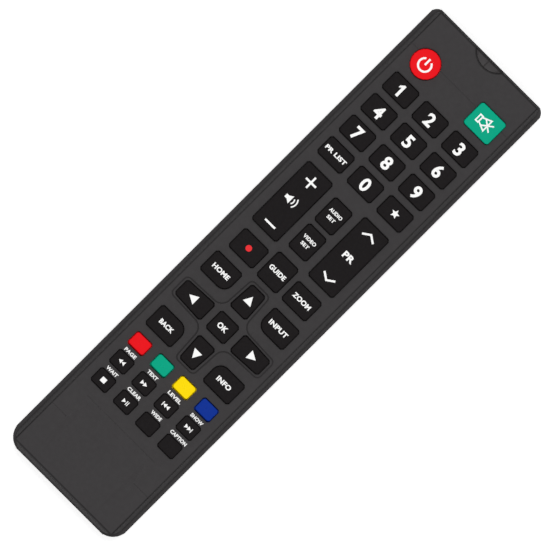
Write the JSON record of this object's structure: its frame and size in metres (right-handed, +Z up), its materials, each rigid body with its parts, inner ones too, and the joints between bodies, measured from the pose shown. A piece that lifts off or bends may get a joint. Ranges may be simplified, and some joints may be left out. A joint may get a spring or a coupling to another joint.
{
  "type": "tv remote control",
  "caption": "Slim rectangular tv remote control with rubber keys, two rockers, arrow pad, infrared window and a sliding battery cover.",
  "frame": {"origin": "middle of the flat back, on the surface the remote lies on", "axes": "+Y to the head with the infrared window, +X to the right of the keys, +Z up through the keys"},
  "size_m": [0.046, 0.184, 0.0212],
  "materials": {
    "case_face": "fine moulded texture, matte",
    "case_back": "fine moulded texture, matte",
    "window": "dark infrared filter, glossy",
    "board": "green solder resist",
    "web_rubber": "silicone, matte",
    "key_black_rubber": "silicone, soft sheen",
    "key_red_rubber": "silicone, soft sheen",
    "key_green_rubber": "silicone, soft sheen",
    "key_yellow_rubber": "silicone, soft sheen",
    "key_blue_rubber": "silicone, soft sheen",
    "cell": "plain sleeve with bare ends",
    "contact_steel": "nickel plated sheet",
    "screw_steel": "zinc plated",
    "led_resin": "dark clear resin",
    "chip_plastic": "moulded epoxy",
    "can_steel": "drawn can",
    "can_aluminium": "sleeved can"
  },
  "bodies": {
    "case": {"lower_case": "case_back", "upper_case": "case_face", "ir_window": "window", "circuit_board": "board", "keypad_web": "web_rubber", "battery_left": "cell", "battery_right": "cell", "contact_positive": "contact_steel", "contact_negative": "contact_steel", "contact_bridge": "contact_steel", "case_screw": "screw_steel", "ir_led": "led_resin", "controller_chip": "chip_plastic", "resonator": "can_steel", "capacitor": "can_aluminium", "chip_resistors": "chip_plastic"},
    "cover": {"battery_cover": "case_back"},
    "key_power_body": {"key_power": "key_red_rubber"},
    "key_mute_body": {"key_mute": "key_green_rubber"},
    "key_1_body": {"key_1": "key_black_rubber"},
    "key_2_body": {"key_2": "key_black_rubber"},
    "key_3_body": {"key_3": "key_black_rubber"},
    "key_4_body": {"key_4": "key_black_rubber"},
    "key_5_body": {"key_5": "key_black_rubber"},
    "key_6_body": {"key_6": "key_black_rubber"},
    "key_7_body": {"key_7": "key_black_rubber"},
    "key_8_body": {"key_8": "key_black_rubber"},
    "key_9_body": {"key_9": "key_black_rubber"},
    "key_0_body": {"key_0": "key_black_rubber"},
    "key_list_body": {"key_list": "key_black_rubber"},
    "key_favourite_body": {"key_favourite": "key_black_rubber"},
    "key_sound_body": {"key_sound": "key_black_rubber"},
    "key_picture_body": {"key_picture": "key_black_rubber"},
    "key_record_body": {"key_record": "key_black_rubber"},
    "key_guide_body": {"key_guide": "key_black_rubber"},
    "key_zoom_body": {"key_zoom": "key_black_rubber"},
    "key_menu_body": {"key_menu": "key_black_rubber"},
    "key_input_body": {"key_input": "key_black_rubber"},
    "key_up_body": {"key_up": "key_black_rubber"},
    "key_left_body": {"key_left": "key_black_rubber"},
    "key_ok_body": {"key_ok": "key_black_rubber"},
    "key_right_body": {"key_right": "key_black_rubber"},
    "key_down_body": {"key_down": "key_black_rubber"},
    "key_exit_body": {"key_exit": "key_black_rubber"},
    "key_info_body": {"key_info": "key_black_rubber"},
    "key_red_body": {"key_red": "key_red_rubber"},
    "key_green_body": {"key_green": "key_green_rubber"},
    "key_yellow_body": {"key_yellow": "key_yellow_rubber"},
    "key_blue_body": {"key_blue": "key_blue_rubber"},
    "key_rewind_body": {"key_rewind": "key_black_rubber"},
    "key_forward_body": {"key_forward": "key_black_rubber"},
    "key_previous_body": {"key_previous": "key_black_rubber"},
    "key_next_body": {"key_next": "key_black_rubber"},
    "key_stop_body": {"key_stop": "key_black_rubber"},
    "key_play_body": {"key_play": "key_black_rubber"},
    "key_text_body": {"key_text": "key_black_rubber"},
    "key_subtitle_body": {"key_subtitle": "key_black_rubber"},
    "rocker_volume_body": {"rocker_volume": "key_black_rubber"},
    "rocker_channel_body": {"rocker_channel": "key_black_rubber"}
  },
  "joints": [
    {"name": "cover_slide", "type": "slide", "parent": "case", "child": "cover", "axis": [0, -1, 0], "range_m": [0, 0.0635]},
    {"name": "key_power_press", "type": "slide", "parent": "case", "child": "key_power_body", "axis": [0, 0, -1], "range_m": [0, 0.0008], "stiffness_N_per_m": 1500},
    {"name": "key_mute_press", "type": "slide", "parent": "case", "child": "key_mute_body", "axis": [0, 0, -1], "range_m": [0, 0.0008], "stiffness_N_per_m": 1500},
    {"name": "key_1_press", "type": "slide", "parent": "case", "child": "key_1_body", "axis": [0, 0, -1], "range_m": [0, 0.0008], "stiffness_N_per_m": 1500},
    {"name": "key_2_press", "type": "slide", "parent": "case", "child": "key_2_body", "axis": [0, 0, -1], "range_m": [0, 0.0008], "stiffness_N_per_m": 1500},
    {"name": "key_3_press", "type": "slide", "parent": "case", "child": "key_3_body", "axis": [0, 0, -1], "range_m": [0, 0.0008], "stiffness_N_per_m": 1500},
    {"name": "key_4_press", "type": "slide", "parent": "case", "child": "key_4_body", "axis": [0, 0, -1], "range_m": [0, 0.0008], "stiffness_N_per_m": 1500},
    {"name": "key_5_press", "type": "slide", "parent": "case", "child": "key_5_body", "axis": [0, 0, -1], "range_m": [0, 0.0008], "stiffness_N_per_m": 1500},
    {"name": "key_6_press", "type": "slide", "parent": "case", "child": "key_6_body", "axis": [0, 0, -1], "range_m": [0, 0.0008], "stiffness_N_per_m": 1500},
    {"name": "key_7_press", "type": "slide", "parent": "case", "child": "key_7_body", "axis": [0, 0, -1], "range_m": [0, 0.0008], "stiffness_N_per_m": 1500},
    {"name": "key_8_press", "type": "slide", "parent": "case", "child": "key_8_body", "axis": [0, 0, -1], "range_m": [0, 0.0008], "stiffness_N_per_m": 1500},
    {"name": "key_9_press", "type": "slide", "parent": "case", "child": "key_9_body", "axis": [0, 0, -1], "range_m": [0, 0.0008], "stiffness_N_per_m": 1500},
    {"name": "key_0_press", "type": "slide", "parent": "case", "child": "key_0_body", "axis": [0, 0, -1], "range_m": [0, 0.0008], "stiffness_N_per_m": 1500},
    {"name": "key_list_press", "type": "slide", "parent": "case", "child": "key_list_body", "axis": [0, 0, -1], "range_m": [0, 0.0008], "stiffness_N_per_m": 1500},
    {"name": "key_favourite_press", "type": "slide", "parent": "case", "child": "key_favourite_body", "axis": [0, 0, -1], "range_m": [0, 0.0008], "stiffness_N_per_m": 1500},
    {"name": "key_sound_press", "type": "slide", "parent": "case", "child": "key_sound_body", "axis": [0, 0, -1], "range_m": [0, 0.0008], "stiffness_N_per_m": 1500},
    {"name": "key_picture_press", "type": "slide", "parent": "case", "child": "key_picture_body", "axis": [0, 0, -1], "range_m": [0, 0.0008], "stiffness_N_per_m": 1500},
    {"name": "key_record_press", "type": "slide", "parent": "case", "child": "key_record_body", "axis": [0, 0, -1], "range_m": [0, 0.0008], "stiffness_N_per_m": 1500},
    {"name": "key_guide_press", "type": "slide", "parent": "case", "child": "key_guide_body", "axis": [0, 0, -1], "range_m": [0, 0.0008], "stiffness_N_per_m": 1500},
    {"name": "key_zoom_press", "type": "slide", "parent": "case", "child": "key_zoom_body", "axis": [0, 0, -1], "range_m": [0, 0.0008], "stiffness_N_per_m": 1500},
    {"name": "key_menu_press", "type": "slide", "parent": "case", "child": "key_menu_body", "axis": [0, 0, -1], "range_m": [0, 0.0008], "stiffness_N_per_m": 1500},
    {"name": "key_input_press", "type": "slide", "parent": "case", "child": "key_input_body", "axis": [0, 0, -1], "range_m": [0, 0.0008], "stiffness_N_per_m": 1500},
    {"name": "key_up_press", "type": "slide", "parent": "case", "child": "key_up_body", "axis": [0, 0, -1], "range_m": [0, 0.0008], "stiffness_N_per_m": 1500},
    {"name": "key_left_press", "type": "slide", "parent": "case", "child": "key_left_body", "axis": [0, 0, -1], "range_m": [0, 0.0008], "stiffness_N_per_m": 1500},
    {"name": "key_ok_press", "type": "slide", "parent": "case", "child": "key_ok_body", "axis": [0, 0, -1], "range_m": [0, 0.0008], "stiffness_N_per_m": 1500},
    {"name": "key_right_press", "type": "slide", "parent": "case", "child": "key_right_body", "axis": [0, 0, -1], "range_m": [0, 0.0008], "stiffness_N_per_m": 1500},
    {"name": "key_down_press", "type": "slide", "parent": "case", "child": "key_down_body", "axis": [0, 0, -1], "range_m": [0, 0.0008], "stiffness_N_per_m": 1500},
    {"name": "key_exit_press", "type": "slide", "parent": "case", "child": "key_exit_body", "axis": [0, 0, -1], "range_m": [0, 0.0008], "stiffness_N_per_m": 1500},
    {"name": "key_info_press", "type": "slide", "parent": "case", "child": "key_info_body", "axis": [0, 0, -1], "range_m": [0, 0.0008], "stiffness_N_per_m": 1500},
    {"name": "key_red_press", "type": "slide", "parent": "case", "child": "key_red_body", "axis": [0, 0, -1], "range_m": [0, 0.0008], "stiffness_N_per_m": 1500},
    {"name": "key_green_press", "type": "slide", "parent": "case", "child": "key_green_body", "axis": [0, 0, -1], "range_m": [0, 0.0008], "stiffness_N_per_m": 1500},
    {"name": "key_yellow_press", "type": "slide", "parent": "case", "child": "key_yellow_body", "axis": [0, 0, -1], "range_m": [0, 0.0008], "stiffness_N_per_m": 1500},
    {"name": "key_blue_press", "type": "slide", "parent": "case", "child": "key_blue_body", "axis": [0, 0, -1], "range_m": [0, 0.0008], "stiffness_N_per_m": 1500},
    {"name": "key_rewind_press", "type": "slide", "parent": "case", "child": "key_rewind_body", "axis": [0, 0, -1], "range_m": [0, 0.0008], "stiffness_N_per_m": 1500},
    {"name": "key_forward_press", "type": "slide", "parent": "case", "child": "key_forward_body", "axis": [0, 0, -1], "range_m": [0, 0.0008], "stiffness_N_per_m": 1500},
    {"name": "key_previous_press", "type": "slide", "parent": "case", "child": "key_previous_body", "axis": [0, 0, -1], "range_m": [0, 0.0008], "stiffness_N_per_m": 1500},
    {"name": "key_next_press", "type": "slide", "parent": "case", "child": "key_next_body", "axis": [0, 0, -1], "range_m": [0, 0.0008], "stiffness_N_per_m": 1500},
    {"name": "key_stop_press", "type": "slide", "parent": "case", "child": "key_stop_body", "axis": [0, 0, -1], "range_m": [0, 0.0008], "stiffness_N_per_m": 1500},
    {"name": "key_play_press", "type": "slide", "parent": "case", "child": "key_play_body", "axis": [0, 0, -1], "range_m": [0, 0.0008], "stiffness_N_per_m": 1500},
    {"name": "key_text_press", "type": "slide", "parent": "case", "child": "key_text_body", "axis": [0, 0, -1], "range_m": [0, 0.0008], "stiffness_N_per_m": 1500},
    {"name": "key_subtitle_press", "type": "slide", "parent": "case", "child": "key_subtitle_body", "axis": [0, 0, -1], "range_m": [0, 0.0008], "stiffness_N_per_m": 1500},
    {"name": "rocker_volume_tip", "type": "hinge", "parent": "case", "child": "rocker_volume_body", "pos_m": [-0.01195, 0.01935, 0.0165], "axis": [1, 0, 0], "range_deg": [-2.5, 2.5], "stiffness_Nm_per_rad": 0.3},
    {"name": "rocker_channel_tip", "type": "hinge", "parent": "case", "child": "rocker_channel_body", "pos_m": [0.01195, 0.01935, 0.0165], "axis": [1, 0, 0], "range_deg": [-2.5, 2.5], "stiffness_Nm_per_rad": 0.3}
  ]
}
